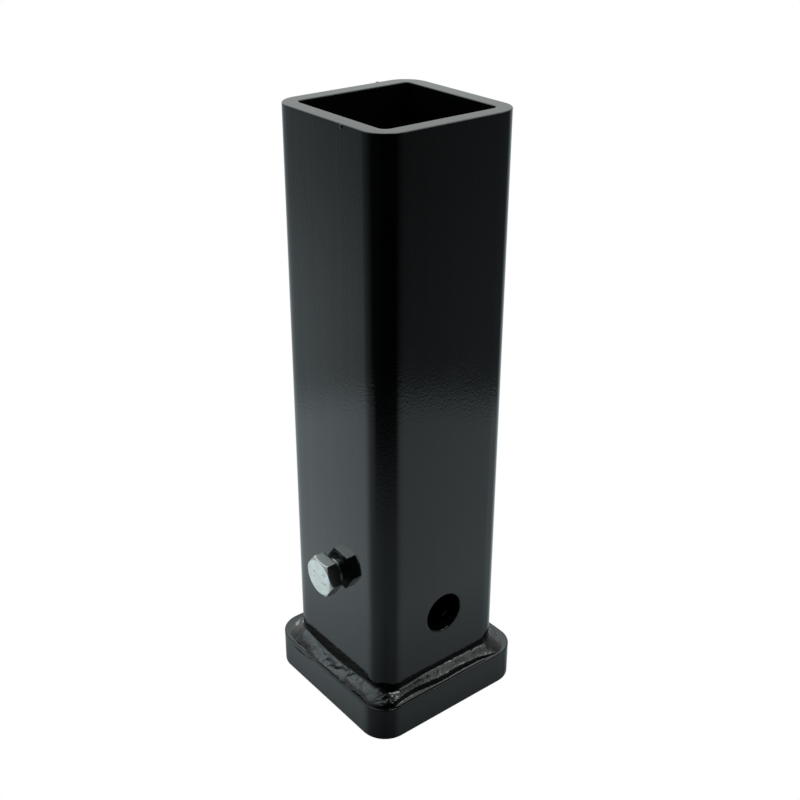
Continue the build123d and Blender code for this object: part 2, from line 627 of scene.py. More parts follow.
@dataclass
class ReceiverTube:
    """The square tube, with the pin hole through two walls and the bolt's hole in a third.

    A hole's window is the square of its wall that the hole's own surface fills. The rows below the
    windows and above them keep gaps to the windows and to the ends.
    """

    width: float
    length: float
    pin_radius: float
    pin_height: float
    bolt_height: float
    wall: float = 6.35
    corner_radius: float = 10.0
    bore_corner_radius: float = 2.6
    bolt_hole_radius: float = 5.05
    end_edge: float = 0.35
    hole_edge: float = 0.6
    grid_step: float = 1.0
    pin_window: float = 13.5
    bolt_window: float = 9.0
    window_shares: tuple[float, ...] = (1.0, 0.6, 0.25)
    lip_points: int = 6
    bore_points: int = 6
    margin_steps: int = 4
    corner_steps: int = 24
    rows_below: int = 8
    rows_above: int = 30
    gap_below: float = 3.0
    gap_above: float = 5.0
    end_gap: float = 2.0
    nibs: tuple[EnamelNib, ...] = (
        EnamelNib((16.8, 32.3, 247.4), (0.8, 1.3, 0.58)),
        EnamelNib((-31.85, -10.6, 247.1), (0.4, 0.75, 0.7)),
    )

    @property
    def half(self) -> float:
        """Half the width over flats."""
        return self.width / 2

    def windows(self) -> list[tuple[Wall, float, float, float]]:
        """The three holes.

        Returns:
            For each hole its wall, height, radius and the half width of its window.
        """
        return [
            (Wall.MINUS_Y, self.pin_height, self.pin_radius, self.pin_window),
            (Wall.PLUS_Y, self.pin_height, self.pin_radius, self.pin_window),
            (Wall.MINUS_X, self.bolt_height, self.bolt_hole_radius, self.bolt_window),
        ]

    def stops(self, half: float, radius: float) -> list[np.ndarray]:
        """The columns' places on each wall of an outline, which suit the windows.

        Args:
            half: Half the outline's width over flats.
            radius: Its corner radius.

        Returns:
            For each wall the places along it.
        """
        window_of = {wall: window for wall, _, _, window in self.windows()}
        places = []
        for wall in Wall:
            window = window_of.get(wall, self.pin_window)
            steps = round(2 * window / self.grid_step)
            places.append(wall_stops(half - radius, window, steps, self.margin_steps))
        return places

    def levels(self) -> np.ndarray:
        """The rows' heights: at the grid's step over the windows, and wider apart elsewhere.

        Returns:
            The heights from the mouth up.
        """
        low = self.pin_height - self.pin_window
        high = self.bolt_height + self.bolt_window
        fine = np.arange(low, high + self.grid_step / 2, self.grid_step)
        below = np.linspace(self.end_gap, low - self.gap_below, self.rows_below)
        above = np.linspace(high + self.gap_above, self.length - self.end_gap, self.rows_above)
        return np.concatenate([below, fine, above])

    def shell(self, skin: Skin) -> None:
        """Adds the walls and the two ends, with a window left open round each hole.

        Args:
            skin: The skin that they join.
        """
        stops = self.stops(self.half, self.corner_radius)
        outer = rounded_square(self.half, self.corner_radius, stops, self.corner_steps)
        half, radius = self.half - self.wall, self.bore_corner_radius
        inner = rounded_square(half, radius, self.stops(half, radius), self.corner_steps)
        edge = self.end_edge
        section = RingSection(self.wall, 0.0, self.length, edge, edge, edge, edge, self.levels())
        depth, height = section.rows().T
        on_face = (depth < CLOSE) | (depth > self.wall - CLOSE)
        keep = np.ones((len(depth), len(outer)), bool)
        spans = np.cumsum([0] + [len(places) + self.corner_steps - 1 for places in stops])
        for wall, centre, _, window in self.windows():
            inside = on_face & (np.abs(height - centre) < window + CLOSE)
            rows = inside & np.roll(inside, -1)
            first = spans[list(Wall).index(wall)] + self.margin_steps
            columns = np.zeros(len(outer), bool)
            columns[first : first + round(2 * window / self.grid_step)] = True
            keep &= ~(rows[:, None] & columns[None])
        skin.patch(section.carry(outer, inner), wrap_rows=True, wrap_columns=True, keep=keep)

    def hole(self, wall: Wall, centre: float, radius: float, window: float) -> np.ndarray:
        """A hole's surface, from its window outside to its window inside.

        Each column belongs to one point of the square window and to the point of the circle that
        lies the same way from the centre. Rows go in from the square to the circle on the outer
        face, round the edge by a quarter circle, along the bore, and out again on the inner face.

        Args:
            wall: The wall that it goes through.
            centre: Its height.
            radius: Its radius.
            window: The half width of its window.

        Returns:
            The grid, with a column for each of the square's points.
        """
        steps = round(2 * window / self.grid_step)
        side = np.linspace(-window, window, steps + 1)
        ends = np.full(steps, window)
        square = np.concatenate(
            [
                np.stack([side[:-1], -ends], axis=1),
                np.stack([ends, side[:-1]], axis=1),
                np.stack([side[:0:-1], ends], axis=1),
                np.stack([-ends, side[:0:-1]], axis=1),
            ]
        )
        circle = square / np.linalg.norm(square, axis=1, keepdims=True)
        turn = np.linspace(0, pi / 2, self.lip_points)
        edge = self.hole_edge
        share = np.array(self.window_shares)
        flat = np.stack([share, np.full_like(share, radius + edge), np.zeros_like(share)], axis=1)
        inward, sunk = edge * (1 - np.sin(turn)), edge * (1 - np.cos(turn))
        lip = np.stack([np.zeros_like(turn), radius + inward, sunk], axis=1)
        near = np.concatenate([flat, lip])
        far = near[::-1] * [1, 1, -1] + [0, 0, self.wall]
        bore = np.linspace(edge, self.wall - edge, self.bore_points)[1:-1]
        middle = np.stack([np.zeros_like(bore), np.full_like(bore, radius), bore], axis=1)
        share, reach, depth = np.concatenate([near, middle, far]).T[:, :, None, None]
        across = square[None] * share + circle[None] * reach * (1 - share)
        return (
            wall.normal * (self.half - depth)
            + wall.tangent * across[..., :1]
            + np.array([0.0, 0.0, 1.0]) * (across[..., 1:] + centre)
        )

    def build(self, finish: bpy.types.Material) -> None:
        """Builds the tube's piece and its nibs.

        Args:
            finish: The tube's enamel.
        """
        skin = Skin()
        self.shell(skin)
        for window in self.windows():
            skin.patch(self.hole(*window), wrap_columns=True)
        piece = skin.piece("tube_shell", finish, Body.RECEIVER, Slot.PAINT)
        keep_flats_flat(piece)
        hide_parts("receiver_tube")
        for number, nib in enumerate(self.nibs):
            drop = Skin()
            drop.patch(nib.grid(), wrap_columns=True)
            drop.piece(f"enamel_nib_{number}", finish, Body.RECEIVER, Slot.PAINT)


@dataclass
class MouthCollar:
    """The ring round the mouth end, flush with the tube's end face."""

    width: float
    height: float
    tube_width: float
    play: float = 0.2
    corner_radius: float = 11.0
    opening_corner_radius: float = 10.1
    shoulder: float = 0.4
    foot: float = 0.5
    opening_edge: float = 0.25
    window_share: float = 0.6
    wall_steps: int = 24
    margin_steps: int = 3
    corner_steps: int = 24
    rows: int = 12

    @property
    def opening(self) -> float:
        """The width of the opening over its flats."""
        return self.tube_width + self.play

    def build(self, finish: bpy.types.Material) -> None:
        """Builds the collar's piece.

        Args:
            finish: The collar's enamel.
        """
        outlines = []
        for half, radius in (
            (self.width / 2, self.corner_radius),
            (self.opening / 2, self.opening_corner_radius),
        ):
            window = self.window_share * half
            stops = wall_stops(half - radius, window, self.wall_steps, self.margin_steps)
            outlines.append(rounded_square(half, radius, [stops] * len(Wall), self.corner_steps))
        section = RingSection(
            (self.width - self.opening) / 2,
            0.0,
            self.height,
            self.foot,
            self.shoulder,
            self.opening_edge,
            self.opening_edge,
            np.linspace(0, self.height, self.rows),
        )
        skin = Skin()
        skin.patch(section.carry(*outlines), wrap_rows=True, wrap_columns=True)
        piece = skin.piece("collar_ring", finish, Body.RECEIVER, Slot.PAINT)
        keep_flats_flat(piece)
        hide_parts("mouth_collar")


@dataclass(frozen=True)
class ToeMark:
    """Where the bead ends at one place along the girth.

    The leg is how high it climbs the tube, the inset how far it stays inside the collar's outline,
    and the drip how far it hangs over the collar's outer face.
    """

    along: float
    leg: float
    inset: float
    drip: float = 0.0


@dataclass(frozen=True)
class FaceMark:
    """The form of the bead's face at one place along the girth.

    The slope is how steeply its upper part falls and the lean how far its lower part is from
    upright, both in degrees. The hug is how tightly it bends between them. The fillet is the width
    of its hollow at the tube, the skirt that of its flared foot, and the toe how steeply that foot
    falls, in degrees. The relief is how lumpy the face is.
    """

    along: float
    slope: float
    lean: float
    hug: float
    fillet: float
    skirt: float
    relief: float
    toe: float = 43.0


@dataclass(frozen=True)
class Scatter:
    """Smooth noise on the bead: many slanting sine waves of drawn lengths and shifts.

    It has a depth, the lengths between which the waves are drawn, how many there are, and how
    many times longer they are along the girth than across the bead.
    """

    depth: float
    lengths: tuple[float, float]
    waves: int
    stretch: float = 1.0

    def over(
        self, along: np.ndarray, across: np.ndarray, girth: float, draw: np.random.Generator
    ) -> np.ndarray:
        """The sum of the waves, where each closes on itself round the girth.

        Args:
            along: Lengths along the girth.
            across: Lengths across the bead, whose shape combines with that of the others.
            girth: The length once round.
            draw: The source of the draws.

        Returns:
            Values whose spread is about the depth.
        """
        total = np.zeros(np.broadcast(along, across).shape)
        for _ in range(self.waves):
            size = draw.uniform(*self.lengths)
            slant = draw.uniform(-pi / 2, pi / 2)
            turns = round(girth * cos(slant) / (size * self.stretch))
            phase = 2 * pi * (turns * along / girth + across * sin(slant) / size)
            total += np.sin(phase + draw.uniform(0, 2 * pi))
        return self.depth * (total * sqrt(2 / self.waves))


@dataclass
class CollarWeld:
    """The fillet bead on the collar's upper face, laid in four runs round the tube.

    The laps are where its runs start. Its ripples are as strong as a scatter of their own makes
    them, and all its relief dies away at the toes by the fade's power.
    """

    tube_half: float
    tube_corner_radius: float
    collar_half: float
    collar_corner_radius: float
    collar_shoulder: float
    foot: float
    toes: tuple[ToeMark, ...] = (
        ToeMark(-104.0, 3.0, 0.9),
        ToeMark(-95.0, 2.7, 1.3),
        ToeMark(-89.0, 3.2, 0.9),
        ToeMark(-85.0, 4.2, 0.1, 1.8),
        ToeMark(-81.0, 4.9, -0.25, 2.8),
        ToeMark(-75.0, 3.9, -0.3, 2.6),
        ToeMark(-69.0, 3.1, -0.15, 1.3),
        ToeMark(-64.0, 2.8, 0.05, 0.8),
        ToeMark(-58.0, 2.9, 0.15, 0.7),
        ToeMark(-52.0, 3.2, 0.15, 0.7),
        ToeMark(-46.0, 3.8, 0.2, 0.6),
        ToeMark(-42.0, 4.5, 0.45),
        ToeMark(-36.0, 5.6, 0.7),
        ToeMark(-29.6, 6.2, 0.9),
        ToeMark(-24.0, 6.4, 0.95),
        ToeMark(-19.0, 6.3, 0.95),
        ToeMark(-13.0, 6.3, 0.95),
        ToeMark(-7.0, 6.2, 0.95),
        ToeMark(0.0, 6.2, 0.95),
        ToeMark(8.0, 6.0, 1.0),
        ToeMark(18.0, 6.0, 0.9),
        ToeMark(24.0, 5.9, 0.5),
        ToeMark(29.0, 5.0, 0.7),
        ToeMark(33.0, 3.6, 1.0),
        ToeMark(37.0, 2.7, 1.2),
        ToeMark(46.0, 3.0, 1.0),
        ToeMark(54.0, 4.6, 0.6),
        ToeMark(74.0, 4.9, 1.1),
        ToeMark(89.0, 4.7, 0.8),
        ToeMark(100.0, 4.3, 1.0),
        ToeMark(112.0, 4.6, 0.7),
        ToeMark(122.0, 4.1, 1.2),
    )
    faces: tuple[FaceMark, ...] = (
        FaceMark(-96.0, 30.0, 12.0, 1.2, 0.5, 0.1, 0.5),
        FaceMark(-84.0, 30.0, 8.0, 1.2, 0.4, 0.0, 0.4),
        FaceMark(-76.0, 14.0, 12.0, 0.9, 0.5, 0.0, 0.7),
        FaceMark(-66.0, 14.0, 43.0, 1.8, 0.5, 0.35, 0.6, 71.0),
        FaceMark(-48.0, 15.0, 43.0, 1.8, 0.5, 0.35, 0.65, 71.0),
        FaceMark(-40.0, 22.0, 18.0, 1.1, 0.6, 0.1, 0.6),
        FaceMark(-29.6, 27.0, 26.0, 2.4, 1.8, 0.3, 0.25),
        FaceMark(-22.0, 18.0, 24.0, 2.4, 2.4, 1.7, 0.15),
        FaceMark(-17.0, 22.0, 21.0, 2.4, 2.0, 1.7, 0.15),
        FaceMark(-12.0, 26.0, 20.0, 2.4, 1.6, 1.0, 0.2),
        FaceMark(-6.0, 29.0, 20.0, 2.6, 1.4, 0.6, 0.3),
        FaceMark(0.0, 30.0, 20.0, 2.8, 1.4, 0.6, 0.3),
        FaceMark(5.0, 30.0, 20.0, 2.8, 1.3, 0.8, 0.3),
        FaceMark(10.0, 31.0, 20.0, 2.8, 1.3, 0.7, 0.25),
        FaceMark(16.0, 31.0, 20.0, 2.8, 1.4, 0.9, 0.25),
        FaceMark(22.0, 32.0, 20.0, 2.4, 1.5, 0.1, 0.2),
        FaceMark(30.0, 36.0, 16.0, 1.8, 0.6, 0.0, 0.4),
        FaceMark(40.0, 30.0, 12.0, 1.4, 0.5, 0.0, 0.6),
        FaceMark(60.0, 32.0, 12.0, 1.6, 0.6, 0.2, 0.6),
        FaceMark(90.0, 36.0, 12.0, 1.6, 0.6, 0.2, 0.6),
        FaceMark(120.0, 32.0, 14.0, 1.6, 0.6, 0.3, 0.6),
    )
    blend: float = 2.5
    blend_points: int = 9
    laps: tuple[float, ...] = (-48.0, 34.0, 96.0, 155.0)
    lap_front: tuple[float, float] = (-0.5, 0.7)
    lap_height: float = 0.3
    lap_length: float = 4.0
    lap_bow: float = 2.0
    root: float = 0.8
    root_drop: float = 0.2
    fillet_shape: float = 1.15
    fillet_hug: float = 2.0
    fillet_lean: float = 0.18
    sunk: float = 0.15
    sunk_in_tube: float = 0.0375
    ripple_pitch: float = 2.2
    ripple_depth: float = 0.035
    ripple_bow: float = 1.1
    ripple_power: float = 1.5
    ripple_waver: Scatter = Scatter(0.45, (5.0, 14.0), 12)
    ripple_strength: float = 0.5
    ripple_spread: Scatter = Scatter(0.6, (9.0, 25.0), 8)
    ripple_most: float = 1.4
    lumps: Scatter = Scatter(0.12, (3.0, 10.0), 24)
    streaks: Scatter = Scatter(0.012, (0.4, 1.0), 40, 3.0)
    fade: float = 0.6
    columns: int = 1400
    fillet_rows: int = 12
    crown_rows: int = 42
    skirt_rows: int = 8
    seed: int = 11

    @property
    def flat_half(self) -> float:
        """Half the width of a wall's flat."""
        return self.tube_half - self.tube_corner_radius

    @property
    def side_run(self) -> float:
        """The girth's length over one wall and one corner."""
        return 2 * self.flat_half + self.tube_corner_radius * pi / 2

    @property
    def girth(self) -> float:
        """The length once round the tube."""
        return 4 * self.side_run

    def skin_frame(self, along: np.ndarray) -> tuple[np.ndarray, np.ndarray]:
        """Where lengths along the girth lie on the tube's skin.

        The girth starts in the middle of the -Y wall and runs towards +X. Each quarter is half a
        wall, a corner arc and half the next wall, turned by a quarter turn from the last.

        Args:
            along: Lengths along the girth.

        Returns:
            The points as rows of x and y, and the outward normals' angles.
        """
        radius = self.tube_corner_radius
        quarter, rest = np.divmod(along % self.girth, self.side_run)
        lean = np.clip((rest - self.flat_half) / radius, 0, pi / 2)
        beyond = np.maximum(rest - self.flat_half - radius * pi / 2, 0)
        out = self.flat_half + radius * np.cos(lean) - beyond
        side = np.minimum(rest, self.flat_half) + radius * np.sin(lean)
        facing = (quarter - 1) * pi / 2
        x = out * np.cos(facing) - side * np.sin(facing)
        y = out * np.sin(facing) + side * np.cos(facing)
        return np.stack([x, y], axis=1), facing + lean

    def reach(self, place: np.ndarray, normal: np.ndarray) -> np.ndarray:
        """The way from the tube's skin, along its normal, to the collar's outline.

        It ends at the nearer of the two flats ahead, or on the corner's circle where it passes
        both ends of those flats. By symmetry it is worked out in the first quadrant.

        Args:
            place: Points on the tube's skin, as rows of x and y.
            normal: The outward normals' angles.

        Returns:
            The length of each way.
        """
        ux, uy = np.abs(np.cos(normal)), np.abs(np.sin(normal))
        px, py = np.abs(place).T
        flat = self.collar_half
        to_x = (flat - px) / np.maximum(ux, SMALLEST)
        to_y = (flat - py) / np.maximum(uy, SMALLEST)
        straight = np.minimum(to_x, to_y)
        dx, dy = px - (flat - self.collar_corner_radius), py - (flat - self.collar_corner_radius)
        nearing = dx * ux + dy * uy
        inside = nearing**2 - dx**2 - dy**2 + self.collar_corner_radius**2
        rounded = -nearing + np.sqrt(np.maximum(inside, 0))
        on_corner = np.minimum(dx + straight * ux, dy + straight * uy) > 0
        return np.where(on_corner, rounded, straight)

    def quantity(
        self, marks: tuple[ToeMark | FaceMark, ...], name: str, along: np.ndarray
    ) -> np.ndarray:
        """One of the marks' quantities all round the girth.

        It runs straight from mark to mark, and is then averaged over the blend length to both
        sides.

        Args:
            marks: The marks in the order of the girth.
            name: The quantity's field.
            along: Lengths along the girth.

        Returns:
            The quantity at each length.
        """
        places = [mark.along for mark in marks]
        values = [getattr(mark, name) for mark in marks]
        shifts = np.linspace(-self.blend, self.blend, self.blend_points)
        spread = [np.interp(along + shift, places, values, period=self.girth) for shift in shifts]
        return np.mean(spread, axis=0)

    def lap(self, along: np.ndarray) -> np.ndarray:
        """How much of a lap's hump there is: a round front where a run starts, fading along it.

        Args:
            along: Lengths along the girth.

        Returns:
            The share of the lap's height at each length.
        """
        total = np.zeros_like(along)
        for start in self.laps:
            past = (along - start + self.girth / 2) % self.girth - self.girth / 2
            fading = np.exp(-np.maximum(past, 0) / self.lap_length)
            total += smooth_step(*self.lap_front, past) * fading
        return total

    def profile(self, along: np.ndarray, outline: np.ndarray) -> np.ndarray:
        """The bead's sections before their relief.

        A section is three conics, each drawn by its hug towards the point where its two tangents
        cross. The fillet leaves the tube nearly upright and turns to the slope. The crown runs
        from a line at the slope to a line at the lean. The skirt, a parabola, turns on from there
        and ends sunk in the collar or, where the bead drips, on its outer face.

        Args:
            along: Lengths along the girth.
            outline: The way from the tube's skin to the collar's outline at each of them.

        Returns:
            Ways out from the tube and up from the collar, for each row and each length.
        """
        leg, inset, drip = (
            self.quantity(self.toes, name, along) for name in ("leg", "inset", "drip")
        )
        slope, lean, hug, fillet, skirt, toe = (
            self.quantity(self.faces, name, along)
            for name in ("slope", "lean", "hug", "fillet", "skirt", "toe")
        )
        fall, tilt = np.tan(np.radians(slope)), np.tan(np.radians(lean))
        flare = np.tan(np.radians(toe))
        reach = outline - inset
        rounding = np.clip(reach - outline + self.collar_shoulder, 0, self.collar_shoulder)
        edge_drop = self.collar_shoulder - np.sqrt(self.collar_shoulder**2 - rounding**2)
        low = -np.maximum(drip, edge_drop + self.sunk)
        tangent_height = leg - self.fillet_shape * fillet
        wall = np.stack([np.full_like(leg, -self.sunk_in_tube), leg])
        hollow = np.stack([self.fillet_lean * fillet, tangent_height])
        brow = np.stack([fillet, tangent_height - fall * fillet])
        hem = np.stack([reach - skirt - self.sunk, low + flare * (skirt + self.sunk)])
        crossing = (hem[0] - (tangent_height - hem[1]) * tilt) / (1 - fall * tilt)
        crest = np.stack([crossing, tangent_height - fall * crossing])
        tip = np.stack([reach, low])
        turn = hem + np.stack([tilt, -np.ones_like(tilt)]) * skirt / 2
        return np.concatenate(
            [
                self.conic(wall, hollow, brow, self.fillet_hug, self.fillet_rows)[:-1],
                self.conic(brow, crest, hem, hug, self.crown_rows)[:-1],
                self.conic(hem, turn, tip, 1.0, self.skirt_rows),
            ]
        )

    def conic(
        self,
        start: np.ndarray,
        corner: np.ndarray,
        end: np.ndarray,
        weight: np.ndarray | float,
        rows: int,
    ) -> np.ndarray:
        """A conic from a start to an end, tangent there to the lines to a corner.

        Args:
            start: Where it starts, as ways out and up for each length along the girth.
            corner: Where its two tangents cross.
            end: Where it ends.
            weight: How strongly the corner draws it.
            rows: How many points it has.

        Returns:
            Its points, by row, by way and by length.
        """
        t = np.linspace(0, 1, rows)[:, None, None]
        shares = (1 - t) ** 2, 2 * weight * (1 - t) * t, t**2
        return (shares[0] * start + shares[1] * corner + shares[2] * end) / sum(shares)

    def grid(self) -> np.ndarray:
        """The bead's surface.

        Each section is moved along its own normal by the ripples, the lumps, the streaks and the
        laps, which die away at the toes. A ripple is a narrow groove along a bowed line across the
        bead. The section is closed by the root, which lies inside the tube and the collar.

        Returns:
            The grid, with a row for each of the section's points.
        """
        draw = np.random.default_rng(self.seed)
        along = np.arange(self.columns) * self.girth / self.columns
        place, normal = self.skin_frame(along)
        out, up = np.moveaxis(self.profile(along, self.reach(place, normal)), 1, 0)
        way_out, way_up = np.gradient(out, axis=0), np.gradient(up, axis=0)
        length = np.hypot(way_out, way_up)
        across = np.cumsum(length, axis=0) - length[0]
        t = across / across[-1]
        spot = (along, across, self.girth, draw)
        turns = round(self.girth / self.ripple_pitch)
        waver = self.ripple_waver.over(*spot)
        bow = self.ripple_bow * (2 * t - 1) ** 2
        ripple = np.abs(np.sin(pi * (turns * along / self.girth + bow + waver)))
        groove = (1 - ripple) ** self.ripple_power
        strength = self.ripple_strength + self.ripple_spread.over(*spot)
        rise = self.lumps.over(*spot)
        rise -= self.ripple_depth * np.clip(strength, 0, self.ripple_most) * groove
        rise *= self.quantity(self.faces, "relief", along)
        rise += self.streaks.over(*spot)
        rise += self.lap_height * self.lap(along + self.lap_bow * bow)
        rise *= np.sin(pi * t) ** self.fade
        root = self.root
        inner = np.full_like(along, -root)
        out_end, up_end = out[-1], up[-1]
        out = np.concatenate([out - way_up / length * rise, [out_end - root, inner, inner]])
        foot_end = up_end - self.root_drop
        up = np.concatenate([up + way_out / length * rise, [foot_end, inner, up[0]]])
        outward = np.stack([np.cos(normal), np.sin(normal)], axis=1)
        flat = place[None] + outward[None] * out[..., None]
        return np.concatenate([flat, (self.foot + up)[..., None]], axis=2)

    def build(self, finish: bpy.types.Material) -> None:
        """Builds the bead's piece.

        Args:
            finish: The bead's enamel.
        """
        skin = Skin()
        skin.patch(self.grid(), wrap_rows=True, wrap_columns=True)
        piece = skin.piece("weld_bead", finish, Body.RECEIVER, Slot.PAINT)
        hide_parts("collar_weld")


@dataclass(frozen=True)
class HeadMark:
    """Raised figures on the bolt's head.

    The side is how far from the head's axis their middle lies, towards -Y, and the rise how far
    above it. The spacing is how many times wider apart than usual they stand.
    """

    figures: str
    side: float
    rise: float
    reading: Reading
    spacing: float


@dataclass
class AntiRattleBolt:
    """The hexagon bolt, threaded to its head, whose shank goes in through the -X wall.

    Each group of shares says how far its rows lie across one of the bolt's faces. The ridge's gain
    and cut turn the thread's triangle wave to a ridge with a flat crest and a flat root.
    """

    tip_x: float
    height: float = 63.5
    shank_length: float = 16.0
    across_flats: float = 15.6
    head_height: float = 5.7
    flat_diameter: float = 15.2
    chamfer_angle: float = 30.0
    head_turn: float = 25.0
    washer_diameter: float = 14.6
    washer_height: float = 0.4
    washer_step: float = 0.03
    thread_diameter: float = 10.0
    thread_pitch: float = 1.5
    thread_depth: float = 0.92
    ridge_gain: float = 1.35
    ridge_cut: float = 0.12
    tip_chamfer: float = 1.0
    edge: float = 0.12
    corner_cut: float = 0.06
    side_columns: int = 23
    rows_per_turn: int = 18
    flat_shares: tuple[float, ...] = (0.0, 0.2, 0.4, 0.6, 0.8, 0.93)
    cone_shares: tuple[float, ...] = (0.1, 0.25, 0.5, 0.75, 0.97)
    side_shares: tuple[float, ...] = (0.3, 0.6, 0.85)
    under_shares: tuple[float, ...] = (0.6, 0.1)
    seat_shares: tuple[float, ...] = (0.4, 0.8)
    tip_shares: tuple[float, ...] = (1.0, 0.5, 0.0)
    marks: tuple[HeadMark, ...] = (
        HeadMark("8.8", 3.2, 0.6, Reading.DOWN, 1.6),
        HeadMark("10", -3.9, 0.0, Reading.UP, 1.5),
    )
    mark_size: float = 3.1
    mark_relief: float = 0.1
    mark_curve_steps: int = 4

    @property
    def bearing_x(self) -> float:
        """Where the head ends and the shank starts."""
        return self.tip_x - self.shank_length

    @property
    def corner_reach(self) -> float:
        """The radius to the cut corners of the hexagon."""
        return self.across_flats / sqrt(3) - self.corner_cut

    @property
    def core(self) -> float:
        """The radius at the thread's root."""
        return self.thread_diameter / 2 - self.thread_depth

    def angles(self) -> np.ndarray:
        """The columns' angles from a corner of the hexagon, closer together at the corners.

        Returns:
            The angles once round.
        """
        cut = 30 - np.degrees(np.arccos(self.across_flats / 2 / self.corner_reach))
        middle = np.linspace(2 * cut, 60 - 2 * cut, self.side_columns)
        side = np.concatenate([[0.0, cut], middle, [60 - cut]])
        return np.radians((np.arange(6) * 60)[:, None] + side).ravel()

    def head_rows(self, angle: np.ndarray) -> list[tuple[np.ndarray, np.ndarray]]:
        """The head: its flat, its cone, its six sides, the washer face and the seat.

        The sides' radius is that of a hexagon, half the width over flats by the cosine of the
        angle from the middle of a side, cut off just inside its corners. The cone runs from the
        flat's edge to the sides at the chamfer's angle.

        Args:
            angle: The columns' angles.

        Returns:
            The rows, each as a depth below the bearing face and a radius for each angle.
        """
        from_middle = np.mod(angle, pi / 3) - pi / 6
        hexagon = np.minimum(self.across_flats / 2 / np.cos(from_middle), self.corner_reach)
        ones = np.ones_like(angle)
        edge, core = self.edge, self.core
        flat_radius, washer_radius = self.flat_diameter / 2, self.washer_diameter / 2
        top, under = -self.head_height, -self.washer_height
        beyond_flat, beyond_washer = hexagon - flat_radius, hexagon - washer_radius
        shoulder = top + beyond_flat * tan(radians(self.chamfer_angle))
        return [
            *((top * ones, share * flat_radius * ones) for share in self.flat_shares),
            (top * ones, (flat_radius - edge) * ones),
            *(
                (top + share * (shoulder - top) + edge / 4, flat_radius + share * beyond_flat)
                for share in self.cone_shares
            ),
            (shoulder + edge, hexagon),
            *((shoulder + share * (under - shoulder), hexagon) for share in self.side_shares),
            (under * ones - edge, hexagon),
            (under * ones, hexagon - edge),
            *((under * ones, washer_radius + share * beyond_washer) for share in self.under_shares),
            (under * ones + self.washer_step, washer_radius * ones),
            (-edge / 2 * ones, washer_radius * ones),
            (0 * ones, (washer_radius - edge / 2) * ones),
            *(
                (0 * ones, (washer_radius + share * (core - washer_radius)) * ones)
                for share in self.seat_shares
            ),
        ]

    def shank_rows(self, angle: np.ndarray) -> list[tuple[np.ndarray, np.ndarray]]:
        """The thread and the tip.

        The thread's radius is a triangle wave of the depth less the turn's share of the pitch,
        held within the tip's chamfer, and the tip closes in a point.

        Args:
            angle: The columns' angles.

        Returns:
            The rows, as for the head.
        """
        ones = np.ones_like(angle)
        end = self.shank_length
        depth = np.arange(0, end, self.thread_pitch / self.rows_per_turn)
        phase = depth[:, None] / self.thread_pitch - angle[None] / (2 * pi)
        wave = np.abs(2 * (phase % 1) - 1)
        ridge = np.clip(wave * self.ridge_gain - self.ridge_cut, 0, 1)
        past_chamfer = np.maximum(0, depth - (end - self.tip_chamfer))
        crest = self.thread_diameter / 2 - past_chamfer
        radius = np.minimum(self.core + self.thread_depth * ridge, crest[:, None])
        tip_radius = self.thread_diameter / 2 - self.tip_chamfer
        return [
            *((at * ones, around) for at, around in zip(depth, radius)),
            *((end * ones, share * tip_radius * ones) for share in self.tip_shares),
        ]

    def grid(self) -> np.ndarray:
        """The bolt's surface, as rows of depth along its axis and radius for each angle.

        A point lies at its depth along +X, and at its radius by the sine and cosine of its angle,
        turned by the head's turn.

        Returns:
            The grid, with a row for each depth.
        """
        angle = self.angles()
        depths, radii = map(np.stack, zip(*self.head_rows(angle), *self.shank_rows(angle)))
        turned = angle + radians(self.head_turn)
        return np.stack(
            [
                self.bearing_x + depths,
                radii * np.sin(turned),
                self.height + radii * np.cos(turned),
            ],
            axis=2,
        )

    def build(self, finish: bpy.types.Material) -> None:
        """Builds the bolt's piece and the figures on its head.

        Args:
            finish: The bolt's zinc.
        """
        skin = Skin()
        skin.patch(self.grid(), wrap_columns=True)
        piece = skin.piece("bolt", finish, Body.BOLT, Slot.ZINC)
        keep_flats_flat(piece)
        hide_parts("anti_rattle_bolt")
        for mark in self.marks:
            self.stamp(mark, finish)

    def stamp(self, mark: HeadMark, finish: bpy.types.Material) -> None:
        """Builds one mark's figures, which stand out of the head's flat and are sunk in it as deep.

        Args:
            mark: The mark.
            finish: The bolt's zinc.
        """
        name = f"head_mark_{mark.figures.replace('.', '_')}"
        lettering = bpy.data.curves.new(name, "FONT")
        lettering.body = mark.figures
        lettering.align_x, lettering.align_y = "CENTER", "CENTER"
        lettering.size = self.mark_size * MM
        lettering.space_character = mark.spacing
        lettering.extrude = self.mark_relief * MM
        lettering.resolution_u = self.mark_curve_steps
        maker = bpy.data.objects.new(name, lettering)
        bpy.context.scene.collection.objects.link(maker)
        bpy.context.view_layer.update()
        depsgraph = bpy.context.evaluated_depsgraph_get()
        mesh = bpy.data.meshes.new_from_object(maker.evaluated_get(depsgraph))
        bpy.data.objects.remove(maker)
        bpy.data.curves.remove(lettering)
        reading = Vector((0.0, 0.0, mark.reading.value))
        outward = Vector((-1.0, 0.0, 0.0))
        turn = Matrix((reading, outward.cross(reading), outward)).transposed().to_4x4()
        at = Vector((self.bearing_x - self.head_height, -mark.side, self.height + mark.rise)) * MM
        mesh.transform(Matrix.Translation(at) @ turn)
        mesh.name = name
        close_up(mesh)
        make_piece(name, mesh, finish, Body.BOLT)


@dataclass(frozen=True)
class TentBelt:
    """One level belt of the light tent, from its lower edge up, and how bright it is all round.

    The edge is where the height of a direction's unit vector passes from below to above. The glow
    is a brightness at each bearing in degrees, where 0 is ahead of the camera and 90 to its right,
    and the tint its colour. The first belt has no edge, since it lies under all the others.
    """

    below: float
    above: float
    glow: tuple[tuple[float, float], ...]
    tint: tuple[float, float, float] = (0.86, 1.0, 1.05)


